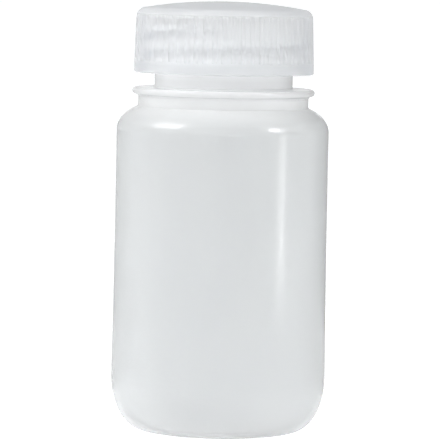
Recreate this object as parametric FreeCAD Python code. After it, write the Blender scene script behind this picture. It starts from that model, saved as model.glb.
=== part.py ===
# Wide-mouth laboratory bottle with a ribbed screw closure.
# Millimetres. +Z is up, the origin is the centre of the ring that the bottle stands on.
import FreeCAD, Part
import math
import os

from FreeCAD import Vector

# Bottle body, outside
heel_diameter = 51.3
waist_diameter = 50.8
shoulder_diameter = 50.7
heel_run = 7.3
heel_height = 12.9
panel_height = 58.6
shoulder_run = 11.5
shoulder_rise = 7.0

# Bottle base: a standing ring round a shallow push-up
push_up_diameter = 29.0
push_up_depth = 1.6
base_thickness = 1.4

# Stepped collar and the lip that stands out above it
collar_diameter = 40.7
collar_height = 2.8
lip_overhang = 1.45
lip_thickness = 1.6
lip_cove_radius = 0.8

# Neck and mouth
neck_height = 16.6
neck_root_chamfer = 0.4
rim_chamfer = 0.4
step_chamfer = 1.0

# Bottle walls
body_wall = 1.1
collar_wall = 1.5
lip_wall = 1.5
neck_wall = 2.3

# Thread, single start and right-handed, the same pitch on the neck and in the closure
thread_pitch = 4.233
thread_depth = 2.1
thread_crest_width = 1.0
thread_root_width = 2.4
thread_embed = 0.4
run_out_depth = 0.1
neck_thread_turns = 2.15
neck_thread_drop = 1.3
neck_thread_end_angle = -99.0
thread_radial_gap = 0.35
thread_load_gap = 0.2
closure_thread_turns = 1.75
closure_thread_rise = 2.4
closure_run_out_angle = 27.0

# Sealing disc that lies on the rim
liner_thickness = 1.0
liner_side_gap = 0.2

# Closure
closure_top_diameter = 42.2
skirt_wall = 2.15
skirt_flare = 0.4
closure_height = 15.5
closure_corner_radius = 2.4
closure_dome_rise = 1.6
closure_top_thickness = 1.5
closure_foot_chamfer = 0.3
closure_mouth_chamfer = 0.6
sealing_band = 4.95

# Grip: grooves between two plain bands leave the ribs standing
rib_count = 60
groove_radius = 0.75
groove_depth = 0.38
foot_band_height = 2.8
head_band_height = 1.7

# Radii that follow: the closure's bore gives the neck its size, and the neck the mouth
closure_head = closure_top_diameter / 2
closure_rim = closure_head + skirt_flare
closure_bore = closure_head - skirt_wall
neck = closure_bore - thread_radial_gap - thread_depth
mouth = neck - neck_wall

# Heights that follow
panel_top = heel_height + panel_height
shoulder_centre = shoulder_diameter / 2 - shoulder_run


def shoulder_height(radius, wall):
    """Height of the shoulder's surface at a radius, wall inside the outer one."""
    share = (radius - shoulder_centre) / (shoulder_run - wall)
    return panel_top + (shoulder_rise - wall) * math.sqrt(1 - share**2)


collar_foot = shoulder_height(collar_diameter / 2, 0)
lip_foot = collar_foot + collar_height
lip_top = lip_foot + lip_thickness
rim_top = lip_top + neck_height
closure_inside_top = rim_top + liner_thickness
closure_edge_top = closure_inside_top + closure_top_thickness
closure_foot = closure_edge_top - closure_height

# Side slope of the thread's flanks, and the height of the middle of its last turn on the neck
flank_slope = (thread_root_width - thread_crest_width) / 2 / thread_depth
neck_thread_top = rim_top - neck_thread_drop - thread_crest_width / 2

Z_AXIS = Vector(0, 0, 1)
ORIGIN = Vector(0, 0, 0)


class Outline:
    """A closed half section, drawn as radius and height and turned about the Z axis."""

    def __init__(self, radius, height):
        self.start = self.at(radius, height)
        self.here = self.start
        self.edges = []

    @staticmethod
    def at(radius, height):
        return Vector(radius, 0, height)

    def line(self, radius, height):
        end = self.at(radius, height)
        self.edges.append(Part.LineSegment(self.here, end).toShape())
        self.here = end

    def arc(self, middle, end):
        middle, end = self.at(*middle), self.at(*end)
        self.edges.append(Part.Arc(self.here, middle, end).toShape())
        self.here = end

    def round(self, centre, radius, first, last):
        """A circular arc about centre, between two angles in degrees from the outward direction."""

        def on_circle(angle):
            turn = math.radians(angle)
            return centre[0] + radius * math.cos(turn), centre[1] + radius * math.sin(turn)

        self.arc(on_circle((first + last) / 2), on_circle(last))

    def ellipse(self, centre, run, rise, first, last):
        """Part of an ellipse about centre, between two of its parameter angles in radians."""
        across = Vector(run, 0, 0)
        up = Vector(0, 0, rise)
        middle = self.at(*centre)
        low, high = min(first, last), max(first, last)
        if run >= rise:
            whole = Part.Ellipse(middle + across, middle + up, middle)
            shift = 0
        else:
            whole = Part.Ellipse(middle + up, middle - across, middle)
            shift = math.pi / 2
        piece = Part.ArcOfEllipse(whole, low - shift, high - shift).toShape()
        self.edges.append(piece)
        self.here = Vector(
            middle.x + run * math.cos(last), 0, middle.z + rise * math.sin(last)
        )

    def turned(self):
        if self.here.distanceToPoint(self.start) > 1e-6:
            self.edges.append(Part.LineSegment(self.here, self.start).toShape())
        wire = Part.Wire(Part.__sortEdges__(self.edges))
        return Part.Face(wire).revolve(ORIGIN, Z_AXIS, 360)


def dome_height(radius, edge_radius, rise):
    """Height of a shallow dome above its edge, at a radius."""
    sphere = (edge_radius**2 + rise**2) / (2 * rise)
    return math.sqrt(sphere**2 - radius**2) - (sphere - rise)


def bottle_shell():
    """The blown bottle without its thread: body, stepped collar, lip and neck in one wall."""
    push_up = push_up_diameter / 2
    heel_outer = heel_diameter / 2
    ring_outer = heel_outer - heel_run
    shoulder_outer = shoulder_diameter / 2
    waist_height = heel_height + panel_height / 2
    collar = collar_diameter / 2
    lip = collar + lip_overhang
    lip_round = lip_thickness / 2
    collar_turn = math.acos((collar - shoulder_centre) / shoulder_run)

    half = Outline(0, push_up_depth)
    half.arc(
        (push_up / 2, dome_height(push_up / 2, push_up, push_up_depth)), (push_up, 0)
    )
    half.line(ring_outer, 0)
    half.ellipse((ring_outer, heel_height), heel_run, heel_height, -math.pi / 2, 0)
    half.arc((waist_diameter / 2, waist_height), (shoulder_outer, panel_top))
    half.ellipse(
        (shoulder_centre, panel_top), shoulder_run, shoulder_rise, 0, collar_turn
    )
    half.line(collar, lip_foot - lip_cove_radius)
    half.round(
        (collar + lip_cove_radius, lip_foot - lip_cove_radius),
        lip_cove_radius,
        180,
        90,
    )
    half.line(lip - lip_round, lip_foot)
    half.round((lip - lip_round, lip_foot + lip_round), lip_round, -90, 90)
    half.line(neck + neck_root_chamfer, lip_top)
    half.line(neck, lip_top + neck_root_chamfer)
    half.line(neck, rim_top - rim_chamfer)
    half.line(neck - rim_chamfer, rim_top)
    half.line(mouth + rim_chamfer, rim_top)
    half.line(mouth, rim_top - rim_chamfer)
    add_inside(half, waist_height)
    return half.turned()


def add_inside(half, waist_height):
    """The bottle's inner surface, from the mouth down to the middle of the floor."""
    collar = collar_diameter / 2 - collar_wall
    web_foot = lip_top - lip_wall
    shoulder_inner = shoulder_diameter / 2 - body_wall
    heel_inner = heel_diameter / 2 - body_wall
    inner_run = heel_run - body_wall
    inner_rise = heel_height - base_thickness
    collar_turn = math.acos((collar - shoulder_centre) / (shoulder_run - body_wall))
    push_up = push_up_diameter / 2

    half.line(mouth, web_foot + step_chamfer)
    half.line(mouth + step_chamfer, web_foot)
    half.line(collar - step_chamfer, web_foot)
    half.line(collar, web_foot - step_chamfer)
    half.line(collar, shoulder_height(collar, body_wall))
    half.ellipse(
        (shoulder_centre, panel_top),
        shoulder_run - body_wall,
        shoulder_rise - body_wall,
        collar_turn,
        0,
    )
    half.arc(
        (waist_diameter / 2 - body_wall, waist_height),
        (heel_inner, heel_height),
    )
    half.ellipse(
        (heel_inner - inner_run, heel_height),
        inner_run,
        inner_rise,
        0,
        -math.pi / 2,
    )
    half.line(push_up, base_thickness)
    half.arc(
        (
            push_up / 2,
            base_thickness + dome_height(push_up / 2, push_up, push_up_depth),
        ),
        (0, base_thickness + push_up_depth),
    )


def thread_ridge(root, outward, start_height, start_angle, turns):
    """A helical ridge. Its root is sunk a little into the wall that carries it, at radius root."""
    sunk = root - outward * thread_embed
    crest = root + outward * thread_depth
    half_sunk = thread_root_width / 2 + flank_slope * thread_embed
    half_crest = thread_crest_width / 2
    corners = [
        Vector(sunk, 0, -half_sunk),
        Vector(crest, 0, -half_crest),
        Vector(crest, 0, half_crest),
        Vector(sunk, 0, half_sunk),
    ]
    section = Part.makePolygon([*corners, corners[0]])
    path = Part.makeHelix(thread_pitch, turns * thread_pitch, root)
    ridge = Part.Wire(path).makePipeShell([section], True, True)
    ridge.rotate(ORIGIN, Z_AXIS, start_angle)
    ridge.translate(Vector(0, 0, start_height))
    return ridge


def neck_thread():
    """The neck's ridge. Each end runs out along a flat that meets the neck's wall."""
    start = neck_thread_top - neck_thread_turns * thread_pitch
    start_angle = neck_thread_end_angle - 360 * neck_thread_turns
    ridge = thread_ridge(neck, 1, start, start_angle, neck_thread_turns)
    corner = Vector(neck - run_out_depth, -neck, -thread_pitch / 2)
    block = Part.makeBox(neck, 2 * neck, thread_pitch, corner)
    ends = ((start, start_angle), (neck_thread_top, neck_thread_end_angle))
    return with_run_outs(ridge, block, ends)


def closure_thread():
    """The closure's ridge, under the neck's one. Each end runs out into the closure's wall."""
    filled = thread_root_width + thread_crest_width
    play = thread_pitch - filled + 2 * flank_slope * thread_radial_gap
    middle = neck_thread_top - thread_pitch / 2 + play / 2 - thread_load_gap
    start = closure_foot + closure_thread_rise
    start_angle = neck_thread_end_angle + 360 * (start - middle) / thread_pitch
    ridge = thread_ridge(closure_bore, -1, start, start_angle, closure_thread_turns)
    crest = closure_bore - thread_depth
    inward = crest * math.cos(math.radians(closure_run_out_angle))
    offset = (closure_bore**2 - crest**2) / 2 / (closure_bore - inward)
    radius = closure_bore - offset + run_out_depth
    drum = Part.makeCylinder(radius, thread_pitch, Vector(offset, 0, -thread_pitch / 2))
    end = start + closure_thread_turns * thread_pitch
    end_angle = start_angle + 360 * closure_thread_turns
    return with_run_outs(ridge, drum, ((start, start_angle), (end, end_angle)))


def with_run_outs(ridge, tool, ends):
    """Cuts the tool, made on the X axis, from a ridge at each of its two ends."""
    for height, angle in ends:
        cutter = tool.copy()
        cutter.rotate(ORIGIN, Z_AXIS, angle)
        cutter.translate(Vector(0, 0, height))
        ridge = ridge.cut(cutter)
    return ridge


def closure_blank():
    """The closure without thread and ribs: domed top, tapered skirt and the hollow inside."""
    edge = closure_head - closure_corner_radius
    corner_foot = closure_edge_top - closure_corner_radius
    recess = closure_bore - sealing_band
    half = Outline(0, closure_edge_top + closure_dome_rise)
    half.arc(
        (edge / 2, closure_edge_top + dome_height(edge / 2, edge, closure_dome_rise)),
        (edge, closure_edge_top),
    )
    half.round((edge, corner_foot), closure_corner_radius, 90, 0)
    half.line(closure_rim, closure_foot + closure_foot_chamfer)
    half.line(closure_rim - closure_foot_chamfer, closure_foot)
    half.line(closure_bore + closure_mouth_chamfer, closure_foot)
    half.line(closure_bore, closure_foot + closure_mouth_chamfer)
    half.line(closure_bore, closure_inside_top)
    half.line(recess, closure_inside_top)
    recess_rise = dome_height(0, edge, closure_dome_rise) - dome_height(
        recess, edge, closure_dome_rise
    )
    half.arc(
        (recess / 2, closure_inside_top + dome_height(recess / 2, recess, recess_rise)),
        (0, closure_inside_top + recess_rise),
    )
    return half.turned()


def grip_grooves():
    """One tool per groove, laid along the skirt's taper between the plain bands."""
    foot = closure_foot + foot_band_height
    head = closure_edge_top - head_band_height
    out = groove_radius - groove_depth
    low = Vector(skirt_radius(foot) + out, 0, foot)
    high = Vector(skirt_radius(head) + out, 0, head)
    along = high - low
    tool = Part.makeCylinder(groove_radius, along.Length, low, along)
    tools = []
    for number in range(rib_count):
        copy = tool.copy()
        copy.rotate(ORIGIN, Z_AXIS, 360 * number / rib_count)
        tools.append(copy)
    return tools


def skirt_radius(height):
    """Outer radius of the tapered skirt at a height."""
    foot = closure_foot + closure_foot_chamfer
    head = closure_edge_top - closure_corner_radius
    share = (height - foot) / (head - foot)
    return closure_rim + share * (closure_head - closure_rim)


def bottle():
    return bottle_shell().fuse(neck_thread())


def closure():
    return closure_blank().fuse(closure_thread()).cut(grip_grooves())


def closure_liner():
    """A plain disc between the rim and the closure's top."""
    return Part.makeCylinder(
        closure_bore - liner_side_gap, liner_thickness, Vector(0, 0, rim_top)
    )


def write_part(name, shape):
    """Writes a shape's solid as a node of its own."""
    shape.exportStep(f"parts/{name}.step")


os.makedirs("parts", exist_ok=True)
write_part("bottle", bottle())
write_part("closure_liner", closure_liner())
write_part("closure", closure())
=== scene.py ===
"""Looks of a wide-mouth laboratory bottle in milky plastic, on a pale table in soft light."""
import math

import bmesh
import bpy
from bpy.props import FloatProperty, FloatVectorProperty, PointerProperty
from mathutils import Matrix, Vector


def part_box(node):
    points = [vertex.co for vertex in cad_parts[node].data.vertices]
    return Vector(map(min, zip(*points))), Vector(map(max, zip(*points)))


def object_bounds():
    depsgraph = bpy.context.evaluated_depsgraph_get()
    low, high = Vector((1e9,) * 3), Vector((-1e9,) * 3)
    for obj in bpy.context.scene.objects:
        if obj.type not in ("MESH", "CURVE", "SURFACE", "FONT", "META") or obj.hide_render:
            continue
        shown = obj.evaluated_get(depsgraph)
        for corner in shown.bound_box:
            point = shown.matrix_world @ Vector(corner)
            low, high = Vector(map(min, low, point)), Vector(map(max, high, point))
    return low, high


bl_info = {
    "name": "Wide-mouth bottle looks",
    "version": (1, 0, 0),
    "blender": (4, 5, 0),
    "location": "3D View > Sidebar > Bottle",
    "description": "Gives a screw-top laboratory bottle its plastics and its studio",
    "category": "Object",
}

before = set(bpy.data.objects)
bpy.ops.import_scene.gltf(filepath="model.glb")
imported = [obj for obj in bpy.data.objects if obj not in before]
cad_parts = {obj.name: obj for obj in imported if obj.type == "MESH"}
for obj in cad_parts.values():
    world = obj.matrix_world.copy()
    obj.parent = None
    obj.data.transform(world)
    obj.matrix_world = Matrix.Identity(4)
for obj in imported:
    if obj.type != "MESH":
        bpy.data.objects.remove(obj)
CAD_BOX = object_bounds()
CENTRE = (CAD_BOX[0] + CAD_BOX[1]) / 2

# Sizes on the bottle and its closure, in metres, and two heights above the table
HEEL_TOP = 0.0129
BODY_MIDDLE = 0.038
COLLAR_HEIGHT = 0.0044
NECK_HEIGHT = 0.0166
NECK_RADIUS = 0.0165
FOOT_BAND_HEIGHT = 0.0028

# Heights worked out from the pieces: where the neck and the collar start, the top of the
# closure's smooth foot band, and the underside of its top
LIP_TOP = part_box("bottle")[1].z - NECK_HEIGHT
SHOULDER_TOP = LIP_TOP - COLLAR_HEIGHT
FOOT_BAND_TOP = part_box("closure")[0].z + FOOT_BAND_HEIGHT
CLOSURE_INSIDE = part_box("closure_liner")[1].z

# Bands of height in which one look goes over into the next
COLLAR_BAND = (SHOULDER_TOP - 0.003, SHOULDER_TOP + 0.001)
WALL_BAND = (SHOULDER_TOP - 0.004, SHOULDER_TOP)
NECK_BAND = (LIP_TOP, LIP_TOP + 0.001)
THREAD_BAND = (LIP_TOP + 0.002, LIP_TOP + 0.004)
FOOT_BAND = (FOOT_BAND_TOP - 0.0008, FOOT_BAND_TOP + 0.0006)
TOP_BAND = (CLOSURE_INSIDE - 0.00017, CLOSURE_INSIDE + 0.00003)

# Distances from the axis between which the thread's painted shade comes in
RIDGE_BAND = (NECK_RADIUS + 0.0002, NECK_RADIUS + 0.0008)

# Share of the collar's white that is painted on the heel at the table, painted light that lifts the
# shade at the base, and share of the neck's translucency that is left behind the thread
HEEL_PAINTED_LIGHT_SHARE = 0.7
THREADED_SHARE = 0.2

# The plastics' skin: sizes of its marks, the part of a noise that makes scuffs, depths of
# the finer marks as shares of the grain's, and how far its roughness swings
RUB_SIZE = 0.009
GRAIN_SIZE = 0.0009
FINE_GRAIN_SIZE = 0.00025
SCUFF_SIZE = 0.0003
SCUFF_STRETCH = (14, 14, 1)
SCUFF_PART = (0.62, 0.7)
DRAW_LINE_SIZE = 0.003
STREAK_SIZE = 0.002
FINE_GRAIN_DEPTH = 1 / 4
SCUFF_DEPTH = 1 / 8
ROUGHNESS_SWING = 0.03
PLASTIC_IOR = 1.53
SEAM_WIDTH = 0.0004

# The foam's patches, their darker shade, and the roughness of its cells, middle to wall
FOAM_PATCH_SIZE = 0.004
FOAM_SHADE = 0.92
FOAM_ROUGHNESS = (0.6, 0.8)

# The picture's width, and the lens's shift that frames the bottle as the photograph does
FRAME_PIXELS = 440
SENSOR_WIDTH = 36.0
LENS_SHIFT = (-0.0028, -0.0376)
LENS_CLIP = (0.05, 50)

# The room's cool light, which comes from the left, the front and above
ROOM_TINT = (0.97, 0.985, 1.0, 1)
BRIGHT_SIDE = (-0.60, -0.69, 0.41)

# The table's width and depth, its middle, its paint, and the glow that keeps it near white
TABLE_SIZE = (8.0, 12.0)
TABLE_MIDDLE = (0, 4.0, 0)
TABLE_PAINT = ((0.86, 0.87, 0.875), (0.84, 0.85, 0.86))
TABLE_MOTTLE_SIZE = 0.05
TABLE_ROUGHNESS = 0.75
TABLE_GLOW = 0.56

# Each lamp's name, place, the height on the axis that it faces, size and power setting
LAMPS = (
    ("high_left", (-0.64, -0.22, 0.65), CENTRE.z, (0.48, 0.44), "high_power"),
    ("front_left", (-0.30, -0.92, 0.28), CENTRE.z, (0.5, 0.5), "front_power"),
    ("high_right", (0.74, -0.39, 0.53), CENTRE.z, (0.11, 0.30), "corner_power"),
    ("right_strip", (0.178, -0.085, 0.042), BODY_MIDDLE, (0.032, 0.045), "strip_power"),
)

# Each grey card's name (also its setting's), place, size and whether it stands up
FLAGS = (
    ("left_flag", (-0.23, 0.20, 0.156), (0.34, 0.31), True),
    ("right_flag", (0.23, 0.20, 0.156), (0.34, 0.31), True),
    ("top_flag", (0, 0.40, 0.25), (1.20, 0.24), True),
    ("left_low_flag", (-0.204, 0.118, 0.001), (0.34, 0.165), False),
    ("right_low_flag", (0.204, 0.118, 0.001), (0.34, 0.165), False),
)

# The cards' mottle, and its darker shade
FLAG_MOTTLE_SIZE = 0.02
FLAG_SHADE = 0.95


def colour(name, description, default):
    """A linear colour that the sidebar shows as a swatch."""
    return FloatVectorProperty(
        name=name, description=description, default=default, subtype="COLOR", min=0, max=1
    )


def share(name, description, default):
    """A number from 0 to 1."""
    return FloatProperty(
        name=name, description=description, default=default, min=0, max=1, subtype="FACTOR"
    )


def length(name, description, default):
    """A length in metres, shown finely enough for bumps in a skin."""
    return FloatProperty(
        name=name, description=description, default=default, min=0, unit="LENGTH", precision=5
    )


def power(name, description, default):
    """A lamp's power."""
    return FloatProperty(
        name=name, description=description, default=default, min=0, unit="POWER"
    )


class BottlePlastic(bpy.types.PropertyGroup):
    """Milky plastic of the blown bottle."""

    tint: colour("Colour", "Colour of the body, where the wall is thin", (0.86, 0.873, 0.875))
    cloud_tint: colour(
        "Cloud colour", "Colour of the faint clouds in the melt", (0.845, 0.858, 0.864)
    )
    # Partly the thicker plastic's whiter colour, partly painted light that brightens the collar,
    # lip and heel
    collar_white_and_painted_light: colour(
        "Collar colour", "Colour of the thick collar, lip and heel", (0.97, 0.98, 0.985)
    )
    # Partly the neck's own colour, partly painted light that lifts the shade under the closure
    neck_white_and_painted_light: colour("Neck colour", "Colour of the neck above the lip", (0.92, 0.933, 0.943))
    # Painted shade: the thread gets a greyer colour that paints its dark bands seen through the
    # closure
    thread_painted_shade: colour("Thread colour", "Colour of the thick thread", (0.86, 0.875, 0.895))
    see_through: share("Translucency", "How much light goes through the body's wall", 0.42)
    neck_see_through: share("Neck translucency", "How much goes through the neck's wall", 0.22)
    light_in: share("Light let in", "Share of a lamp's light that each face lets through", 0.7)
    roughness: share("Roughness", "Mean roughness of the skin", 0.18)
    gloss: share("Gloss", "How strongly the skin reflects", 0.64)
    bleed: length("Bleed", "How far light spreads under the skin", 0.002)
    cloud_size: length("Cloud size", "Size of the faint clouds in the melt", 0.014)
    grain_depth: length("Grain depth", "Depth of the mould's fine orange peel", 0.000024)
    seam_height: length("Seam height", "How far the mould's parting line stands up", 0.00006)


class ClosurePlastic(bpy.types.PropertyGroup):
    """Moulded plastic of the screw closure."""

    tint: colour("Colour", "Colour of the moulded plastic", (0.96, 0.965, 0.965))
    # Painted shade: the top plate is given a darker colour than the skirt
    top_painted_shade: colour("Top colour", "Colour of the thick top", (0.85, 0.86, 0.865))
    # Painted shade: the smooth foot band is given a darker colour
    foot_painted_shade: colour("Foot colour", "Colour of the smooth band round the foot", (0.85, 0.86, 0.87))
    cloud_tint: colour("Flow colour", "Colour of the faint flow marks", (0.935, 0.94, 0.945))
    see_through: share("Translucency", "How much shows through each face of the skirt", 0.54)
    depth_tint: colour(
        "Depth colour", "Colour that deep plastic leaves in the light", (0.56, 0.59, 0.65)
    )
    depth_density: FloatProperty(
        name="Depth density",
        description="How soon deep plastic swallows light, per metre",
        default=52.0,
        min=0,
    )
    top_see_through: share("Top translucency", "How much shows through each face of the top", 0.3)
    light_in: share("Light let in", "Share of a lamp's light that each face lets through", 0.96)
    roughness: share("Roughness", "Mean roughness of the skin", 0.38)
    bleed: length("Bleed", "How far light spreads under the skin", 0.005)
    gloss: share("Gloss", "How strongly the skin reflects", 0.3)
    flow_size: length("Flow size", "Width of the faint flow marks", 0.006)
    grain_depth: length("Grain depth", "Depth of the fine moulded grain", 0.00002)


class LinerFoam(bpy.types.PropertyGroup):
    """Soft foamed disc under the closure."""

    tint: colour("Colour", "Colour of the foam", (0.86, 0.87, 0.87))
    cell_size: length("Cell size", "Size of the foam's cells", 0.0005)
    cell_depth: length("Cell depth", "Depth of the foam's cells", 0.00006)


class StudioSetup(bpy.types.PropertyGroup):
    """Table, lamps and camera."""

    camera_distance: length("Camera distance", "From the bottle's axis to the lens", 0.8)
    camera_height: length("Camera height", "Height of the lens above the table", 0.114)
    camera_pitch: FloatProperty(
        name="Camera pitch",
        description="How far the camera looks down",
        default=math.radians(4.284),
        subtype="ANGLE",
    )
    camera_roll: FloatProperty(
        name="Camera roll",
        description="How far the camera leans to its left",
        default=math.radians(1.126),
        subtype="ANGLE",
    )
    focal_pixels: FloatProperty(
        name="Focal length in pixels",
        description="Focal length over the width of a square picture element",
        default=3353.6,
    )
    high_power: power("High lamp", "Power of the high left lamp", 3.3)
    front_power: power("Front lamp", "Power of the large front lamp", 0.42)
    corner_power: power("Corner lamp", "Power of the small high right lamp", 2.4)
    strip_power: power("Strip lamp", "Power of the small low right lamp", 0.015)
    surround: share("Surround", "Brightness of the room's bright side as a light", 0.77)
    dim_side: share("Dim side", "Brightness of the room's far side as a light", 0.02)
    left_flag: share("Left flag", "Grey of the card at the left of the backdrop", 0.58)
    right_flag: share("Right flag", "Grey of the card at the right of the backdrop", 0.40)
    top_flag: share("Top flag", "Grey of the card above the backdrop", 0.45)
    left_low_flag: share("Left low flag", "Grey of the card on the table at the left", 0.80)
    right_low_flag: share("Right low flag", "Grey of the card on the table at the right", 0.78)


class Shader:
    """A material's node tree with a Principled shader, built a node at a time."""

    def __init__(self, name):
        self.material = bpy.data.materials.new(name)
        self.material.use_nodes = True
        self.nodes = self.material.node_tree.nodes
        self.links = self.material.node_tree.links
        self.surface = self.nodes["Principled BSDF"]
        self.place = self.add("ShaderNodeTexCoord").outputs["Object"]

    def add(self, kind, **settings):
        """Adds a node and sets its own options."""
        node = self.nodes.new(kind)
        for key, value in settings.items():
            setattr(node, key, value)
        return node

    def give(self, socket, value):
        """Sets a socket, or links it where the value is another node's socket."""
        if isinstance(value, bpy.types.NodeSocket):
            self.links.new(value, socket)
        else:
            socket.default_value = value

    def fill(self, node, **values):
        """Gives a node's sockets their values by name."""
        for key, value in values.items():
            self.give(node.inputs[key.replace("_", " ")], value)

    def noise(self, size, detail=2.0, stretch=(1, 1, 1), seed=0.0):
        """Noise with features of a size in metres, stretched along the object's axes."""
        turned = self.add("ShaderNodeMapping")
        self.fill(turned, Vector=self.place, Scale=tuple(1 / (size * s) for s in stretch))
        node = self.add("ShaderNodeTexNoise", noise_dimensions="4D")
        self.fill(node, Vector=turned.outputs[0], Scale=1.0, Detail=detail, W=seed)
        return node.outputs["Fac"]

    def spread(self, value, low, high, start=0.3, stop=0.7):
        """Maps a pattern from start..stop to low..high."""
        node = self.add("ShaderNodeMapRange")
        self.fill(node, Value=value, From_Min=start, From_Max=stop, To_Min=low, To_Max=high)
        return node.outputs[0]

    def radius(self):
        """Distance from the bottle's axis."""
        flat = self.add("ShaderNodeVectorMath", operation="MULTIPLY")
        self.links.new(self.place, flat.inputs[0])
        flat.inputs[1].default_value = (1, 1, 0)
        size = self.add("ShaderNodeVectorMath", operation="LENGTH")
        self.links.new(flat.outputs[0], size.inputs[0])
        return size.outputs["Value"]

    def height(self):
        """Height above the table."""
        parts = self.add("ShaderNodeSeparateXYZ")
        self.links.new(self.place, parts.inputs[0])
        return parts.outputs["Z"]

    def times(self, first, second):
        """Multiplies two values, each a socket or a number."""
        node = self.add("ShaderNodeMath", operation="MULTIPLY")
        for socket, value in zip(node.inputs, (first, second)):
            self.give(socket, value)
        return node.outputs[0]

    def largest(self, first, second):
        """Keeps the larger of two values."""
        node = self.add("ShaderNodeMath", operation="MAXIMUM")
        self.give(node.inputs[0], first)
        self.give(node.inputs[1], second)
        return node.outputs[0]

    def mix(self, kind, factor, first, second):
        """Goes from one value or colour to another as a factor goes from 0 to 1."""
        node = self.add("ShaderNodeMix", data_type=kind)
        sockets = {socket.name: socket for socket in node.inputs if socket.enabled}
        self.give(sockets["Factor"], factor)
        self.give(sockets["A"], first)
        self.give(sockets["B"], second)
        return next(socket for socket in node.outputs if socket.enabled)

    def blend(self, factor, *colours):
        """Goes from one colour to another, each a socket or three shares of light."""
        sockets = [c if isinstance(c, bpy.types.NodeSocket) else (*c, 1) for c in colours]
        return self.mix("RGBA", factor, *sockets)

    def see_past(self, amount, light_in):
        """Lets in a share of the light, and shows what is behind by an amount, if one is given."""
        rays = self.add("ShaderNodeLightPath")
        total = self.times(rays.outputs["Is Shadow Ray"], light_in)
        if amount is not None:
            room = self.times(rays.outputs["Is Diffuse Ray"], light_in)
            total = self.largest(self.largest(total, room), amount)
        clear = self.add("ShaderNodeBsdfTransparent")
        mixed = self.add("ShaderNodeMixShader")
        for socket, shown in zip(mixed.inputs, (total, self.surface.outputs[0], clear.outputs[0])):
            self.links.new(shown, socket)
        self.end_in(mixed.outputs[0])

    def end_in(self, shown, socket="Surface"):
        """Ends the tree in a shader, for the surface or for the volume inside."""
        self.links.new(shown, self.nodes["Material Output"].inputs[socket])

    def absorb(self, tint, density):
        """Lets the plastic itself swallow light along the way through it."""
        depth = self.add("ShaderNodeVolumeAbsorption")
        self.fill(depth, Color=(*tint, 1), Density=density)
        self.end_in(depth.outputs[0], "Volume")

    def bump(self, height, depth, under=None):
        """Raises the skin by a pattern, on top of the bumps under it."""
        node = self.add("ShaderNodeBump")
        self.fill(node, Height=height, Distance=depth, Strength=1.0)
        if under is not None:
            self.links.new(under, node.inputs["Normal"])
        return node.outputs[0]


def milky_plastic(shader, look, hue, streaks, seam=None):
    """A milky plastic with a fine skin, drawn streaks, rubbed patches and hairline scuffs."""
    rub = shader.noise(RUB_SIZE, detail=4, seed=3.1)
    grain = shader.noise(GRAIN_SIZE, detail=2, seed=7.7)
    fine = shader.noise(FINE_GRAIN_SIZE, detail=1, seed=1.9)
    skin = shader.bump(grain, look.grain_depth)
    skin = shader.bump(fine, FINE_GRAIN_DEPTH * look.grain_depth, under=skin)
    skin = shader.bump(streaks, look.grain_depth, under=skin)
    hairs = shader.noise(SCUFF_SIZE, detail=2, stretch=SCUFF_STRETCH, seed=5.3)
    scuffs = shader.spread(hairs, 0, 1, *SCUFF_PART)
    skin = shader.bump(scuffs, -SCUFF_DEPTH * look.grain_depth, under=skin)
    if seam is not None:
        skin = shader.bump(seam, look.seam_height, under=skin)
    smoother, rougher = look.roughness - ROUGHNESS_SWING, look.roughness + ROUGHNESS_SWING
    shader.fill(
        shader.surface,
        Base_Color=hue,
        Roughness=shader.spread(rub, smoother, rougher),
        IOR=PLASTIC_IOR,
        Specular_IOR_Level=look.gloss,
        Subsurface_Weight=1.0,
        Subsurface_Radius=(1, 1, 1),
        Subsurface_Scale=look.bleed,
        Normal=skin,
    )


def put_on(node, material):
    """Gives a CAD node a material in place of its own."""
    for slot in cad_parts[node].material_slots:
        slot.material = material


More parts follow.
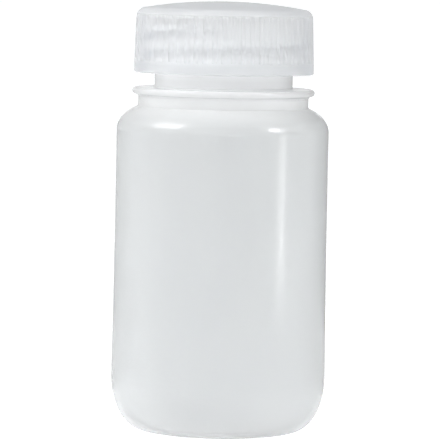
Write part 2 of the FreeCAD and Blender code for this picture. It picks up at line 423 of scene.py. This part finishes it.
class OBJECT_OT_bottle_plastic(bpy.types.Operator):
    """Give the blown bottle its milky plastic"""

    bl_idname = "wide_mouth.bottle_plastic"
    bl_label = "Bottle plastic"

    def execute(self, context):
        look = context.scene.bottle_plastic
        shader = Shader("milky_blown_plastic")
        draw_lines = shader.noise(DRAW_LINE_SIZE, detail=2, stretch=(1, 1, 12), seed=4.4)
        milky_plastic(shader, look, self.hue(shader, look), draw_lines, self.seam(shader))
        shader.fill(shader.surface, Transmission_Weight=self.clear(shader, look))
        shader.see_past(None, look.light_in)
        put_on("bottle", shader.material)
        return {"FINISHED"}

    @staticmethod
    def seam(shader):
        """Where the mould's halves met: a fine line up each side and across the base."""
        parts = shader.add("ShaderNodeSeparateXYZ")
        shader.links.new(shader.place, parts.inputs[0])
        off = shader.add("ShaderNodeMath", operation="ABSOLUTE")
        shader.links.new(parts.outputs["Y"], off.inputs[0])
        return shader.spread(off.outputs[0], 1, 0, SEAM_WIDTH / 4, SEAM_WIDTH / 2)

    @staticmethod
    def hue(shader, look):
        """Faint clouds on the body; a whiter collar and lip, partly thicker plastic and partly
        painted light; painted light on the heel, whiter towards the table; a neck lifted by painted
        light against the shade under the closure; and painted shade on the thread, a greyer colour.
        """
        cloud = shader.noise(look.cloud_size, detail=3, stretch=(1, 1, 2.2))
        body = shader.blend(shader.spread(cloud, 0, 1), look.tint, look.cloud_tint)
        height = shader.height()
        # Painted light: the heel whiter towards the table, lifting the shade at the base
        heel = shader.spread(height, HEEL_PAINTED_LIGHT_SHARE, 0, 0, HEEL_TOP)
        body = shader.blend(heel, body, look.collar_white_and_painted_light)
        # Collar and lip whiter: partly thicker plastic, partly painted light
        collar = shader.spread(height, 0, 1, *COLLAR_BAND)
        body = shader.blend(collar, body, look.collar_white_and_painted_light)
        # Neck whiter: partly its own colour, partly painted light against the shade under the
        # closure
        neck = shader.spread(height, 0, 1, *NECK_BAND)
        body = shader.blend(neck, body, look.neck_white_and_painted_light)
        # Painted shade: the thread's greyer colour paints its dark bands
        thread_shade_mask = shader.times(neck, shader.spread(shader.radius(), 0, 1, *RIDGE_BAND))
        return shader.blend(thread_shade_mask, body, look.thread_painted_shade)

    @staticmethod
    def clear(shader, look):
        """The thin body lets most light through, the neck less, and the thick thread least."""
        height = shader.height()
        wall = shader.spread(height, look.see_through, look.neck_see_through, *WALL_BAND)
        return shader.times(wall, shader.spread(height, 1, THREADED_SHARE, *THREAD_BAND))


class OBJECT_OT_closure_plastic(bpy.types.Operator):
    """Give the screw closure its moulded plastic"""

    bl_idname = "wide_mouth.closure_plastic"
    bl_label = "Closure plastic"

    def execute(self, context):
        look = context.scene.closure_plastic
        shader = Shader("milky_moulded_plastic")
        flow = shader.noise(look.flow_size, detail=3, stretch=(1, 1, 1.6), seed=2.2)
        hue = shader.blend(shader.spread(flow, 0, 1), look.tint, look.cloud_tint)
        # Painted shade: a darker smooth band round the foot
        foot = shader.spread(shader.height(), 1, 0, *FOOT_BAND)
        hue = shader.blend(foot, hue, look.foot_painted_shade)
        # Painted shade: the top plate darker than the skirt
        under_top = shader.spread(shader.height(), 1, 0, *TOP_BAND)
        hue = shader.blend(under_top, look.top_painted_shade, hue)
        streaks = shader.noise(STREAK_SIZE, detail=1, stretch=(1, 1, 5), seed=8.1)
        milky_plastic(shader, look, hue, streaks)
        seen = shader.mix("FLOAT", under_top, look.top_see_through, look.see_through)
        shader.see_past(seen, look.light_in)
        shader.absorb(look.depth_tint, look.depth_density)
        put_on("closure", shader.material)
        return {"FINISHED"}


class OBJECT_OT_liner_foam(bpy.types.Operator):
    """Give the sealing disc its fine foam"""

    bl_idname = "wide_mouth.liner_foam"
    bl_label = "Liner foam"

    def execute(self, context):
        look = context.scene.liner_foam
        shader = Shader("fine_cell_foam")
        cells = shader.add("ShaderNodeTexVoronoi")
        shader.fill(cells, Vector=shader.place, Scale=1 / look.cell_size)
        skin = shader.bump(cells.outputs["Distance"], look.cell_depth)
        shade = shader.spread(shader.noise(FOAM_PATCH_SIZE, detail=3), 0, 1)
        darker = tuple(FOAM_SHADE * part for part in look.tint)
        shader.fill(
            shader.surface,
            Base_Color=shader.blend(shade, look.tint, darker),
            Roughness=shader.spread(cells.outputs["Distance"], *FOAM_ROUGHNESS, 0, 0.6),
            Normal=skin,
        )
        put_on("closure_liner", shader.material)
        return {"FINISHED"}


def lamp(name, place, aim, size, power):
    """A soft rectangular lamp at a place, turned to face a point."""
    data = bpy.data.lights.new(name, "AREA")
    data.shape = "RECTANGLE"
    data.size, data.size_y = size
    data.energy = power
    made = bpy.data.objects.new(name, data)
    made.location = place
    made.rotation_euler = (aim - Vector(place)).to_track_quat("-Z", "Y").to_euler()
    bpy.context.scene.collection.objects.link(made)


def seen_as(nodes, links, lit, shown):
    """Shows one shader to the eye, also in gloss and through clear walls, and lights by another."""
    rays = nodes.new("ShaderNodeLightPath")
    total = rays.outputs["Is Camera Ray"]
    for name in ("Is Glossy Ray", "Is Transmission Ray"):
        either = nodes.new("ShaderNodeMath")
        either.operation = "MAXIMUM"
        links.new(total, either.inputs[0])
        links.new(rays.outputs[name], either.inputs[1])
        total = either.outputs[0]
    mixed = nodes.new("ShaderNodeMixShader")
    links.new(total, mixed.inputs[0])
    links.new(lit, mixed.inputs[1])
    links.new(shown, mixed.inputs[2])
    return mixed.outputs[0]


def build_room(setup):
    """A white room: seen as white, and a gentler light on the bottle."""
    world = bpy.data.worlds.new("white_room")
    world.use_nodes = True
    nodes, links = world.node_tree.nodes, world.node_tree.links
    gentle = nodes["Background"]
    gentle.inputs["Color"].default_value = ROOM_TINT
    side = nodes.new("ShaderNodeTexCoord")
    facing = nodes.new("ShaderNodeVectorMath")
    facing.operation = "DOT_PRODUCT"
    facing.inputs[1].default_value = BRIGHT_SIDE
    links.new(side.outputs["Generated"], facing.inputs[0])
    level = nodes.new("ShaderNodeMapRange")
    links.new(facing.outputs["Value"], level.inputs["Value"])
    level.inputs["From Min"].default_value = -1
    level.inputs["To Min"].default_value = setup.dim_side
    level.inputs["To Max"].default_value = setup.surround
    links.new(level.outputs[0], gentle.inputs["Strength"])
    white = nodes.new("ShaderNodeBackground")
    white.inputs["Color"].default_value = (1, 1, 1, 1)
    white.inputs["Strength"].default_value = 1
    shown = seen_as(nodes, links, gentle.outputs[0], white.outputs[0])
    links.new(shown, nodes["World Output"].inputs["Surface"])
    bpy.context.scene.world = world


def flat_sheet(name, size, middle, material):
    """A flat sheet for the stage, of a width and depth, in a material."""
    shape = bmesh.new()
    bmesh.ops.create_grid(shape, x_segments=1, y_segments=1, size=0.5)
    bmesh.ops.scale(shape, vec=(*size, 1), verts=shape.verts)
    bmesh.ops.translate(shape, vec=middle, verts=shape.verts)
    mesh = bpy.data.meshes.new(name)
    shape.to_mesh(mesh)
    shape.free()
    mesh.materials.append(material)
    sheet = bpy.data.objects.new(name, mesh)
    bpy.context.scene.collection.objects.link(sheet)
    return sheet


def build_table():
    """A flat pale table, which stays near white and keeps the shadow."""
    shader = Shader("pale_table_paint")
    mottle = shader.noise(TABLE_MOTTLE_SIZE, detail=4)
    shader.fill(
        shader.surface,
        Base_Color=shader.blend(mottle, *TABLE_PAINT),
        Roughness=TABLE_ROUGHNESS,
    )
    glow = shader.add("ShaderNodeEmission")
    shader.fill(glow, Color=(1, 1, 1, 1), Strength=TABLE_GLOW)
    both = shader.add("ShaderNodeAddShader")
    shader.links.new(shader.surface.outputs[0], both.inputs[0])
    shader.links.new(glow.outputs[0], both.inputs[1])
    lit = shader.surface.outputs[0]
    shader.end_in(seen_as(shader.nodes, shader.links, lit, both.outputs[0]))
    table = flat_sheet("pale_table", TABLE_SIZE, TABLE_MIDDLE, shader.material)


def build_flag(name, place, size, stands, grey):
    """A grey card out of frame that darkens the edges of glossy, clear plastic and nothing else."""
    shader = Shader(name)
    paper = shader.noise(FLAG_MOTTLE_SIZE, detail=3)
    card = shader.add("ShaderNodeEmission")
    greys = ((grey,) * 3, (FLAG_SHADE * grey,) * 3)
    shader.fill(card, Color=shader.blend(paper, *greys), Strength=1.0)
    shader.end_in(card.outputs[0])
    flag = flat_sheet(name, size, (0, 0, 0), shader.material)
    upright = Matrix.Rotation(math.radians(90 if stands else 0), 4, "X")
    flag.matrix_world = Matrix.Translation(place) @ upright
    flag.visible_camera = flag.visible_diffuse = flag.visible_shadow = False


def build_camera(setup):
    """The photograph's camera: a long lens a little above the bottle's top, leaning slightly."""
    data = bpy.data.cameras.new("long_lens")
    data.sensor_width = SENSOR_WIDTH
    data.lens = setup.focal_pixels / FRAME_PIXELS * SENSOR_WIDTH
    data.shift_x, data.shift_y = LENS_SHIFT
    data.clip_start, data.clip_end = LENS_CLIP
    camera = bpy.data.objects.new("long_lens", data)
    camera.matrix_world = (
        Matrix.Translation((0, -setup.camera_distance, setup.camera_height))
        @ Matrix.Rotation(math.radians(90) - setup.camera_pitch, 4, "X")
        @ Matrix.Rotation(setup.camera_roll, 4, "Z")
    )
    bpy.context.scene.collection.objects.link(camera)
    bpy.context.scene.camera = camera


class SCENE_OT_studio(bpy.types.Operator):
    """Set the pale table, the lamps and the camera"""

    bl_idname = "wide_mouth.studio"
    bl_label = "Studio"

    def execute(self, context):
        setup = context.scene.studio_setup
        context.scene.view_settings.view_transform = "Standard"
        build_room(setup)
        build_table()
        for name, place, height, size, setting in LAMPS:
            lamp(name, place, Vector((0, 0, height)), size, getattr(setup, setting))
        for name, place, size, stands in FLAGS:
            build_flag(name, place, size, stands, getattr(setup, name))
        build_camera(setup)
        return {"FINISHED"}


STEPS = (
    OBJECT_OT_bottle_plastic,
    OBJECT_OT_closure_plastic,
    OBJECT_OT_liner_foam,
    SCENE_OT_studio,
)
LOOKS = {
    "bottle_plastic": BottlePlastic,
    "closure_plastic": ClosurePlastic,
    "liner_foam": LinerFoam,
    "studio_setup": StudioSetup,
}


class VIEW3D_PT_wide_mouth_bottle(bpy.types.Panel):
    """Lists the bottle's looks and the steps that apply them"""

    bl_label = "Wide-mouth bottle"
    bl_space_type = "VIEW_3D"
    bl_region_type = "UI"
    bl_category = "Bottle"

    def draw(self, context):
        for name in LOOKS:
            box = self.layout.box()
            box.label(text=name.replace("_", " ").capitalize())
            look = getattr(context.scene, name)
            for key in look.bl_rna.properties.keys():
                if key not in ("rna_type", "name"):
                    box.prop(look, key)
        for step in STEPS:
            self.layout.operator(step.bl_idname)


CLASSES = (*LOOKS.values(), *STEPS, VIEW3D_PT_wide_mouth_bottle)


def register():
    """Adds the settings, the steps and the panel."""
    for made in CLASSES:
        bpy.utils.register_class(made)
    for name, kind in LOOKS.items():
        setattr(bpy.types.Scene, name, PointerProperty(type=kind))


def unregister():
    """Takes away all that register added."""
    for name in LOOKS:
        delattr(bpy.types.Scene, name)
    for made in reversed(CLASSES):
        bpy.utils.unregister_class(made)


def main():
    """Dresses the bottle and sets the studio."""
    register()
    bpy.ops.wide_mouth.bottle_plastic()
    bpy.ops.wide_mouth.closure_plastic()
    bpy.ops.wide_mouth.liner_foam()
    bpy.ops.wide_mouth.studio()


if __name__ == "__main__":
    main()
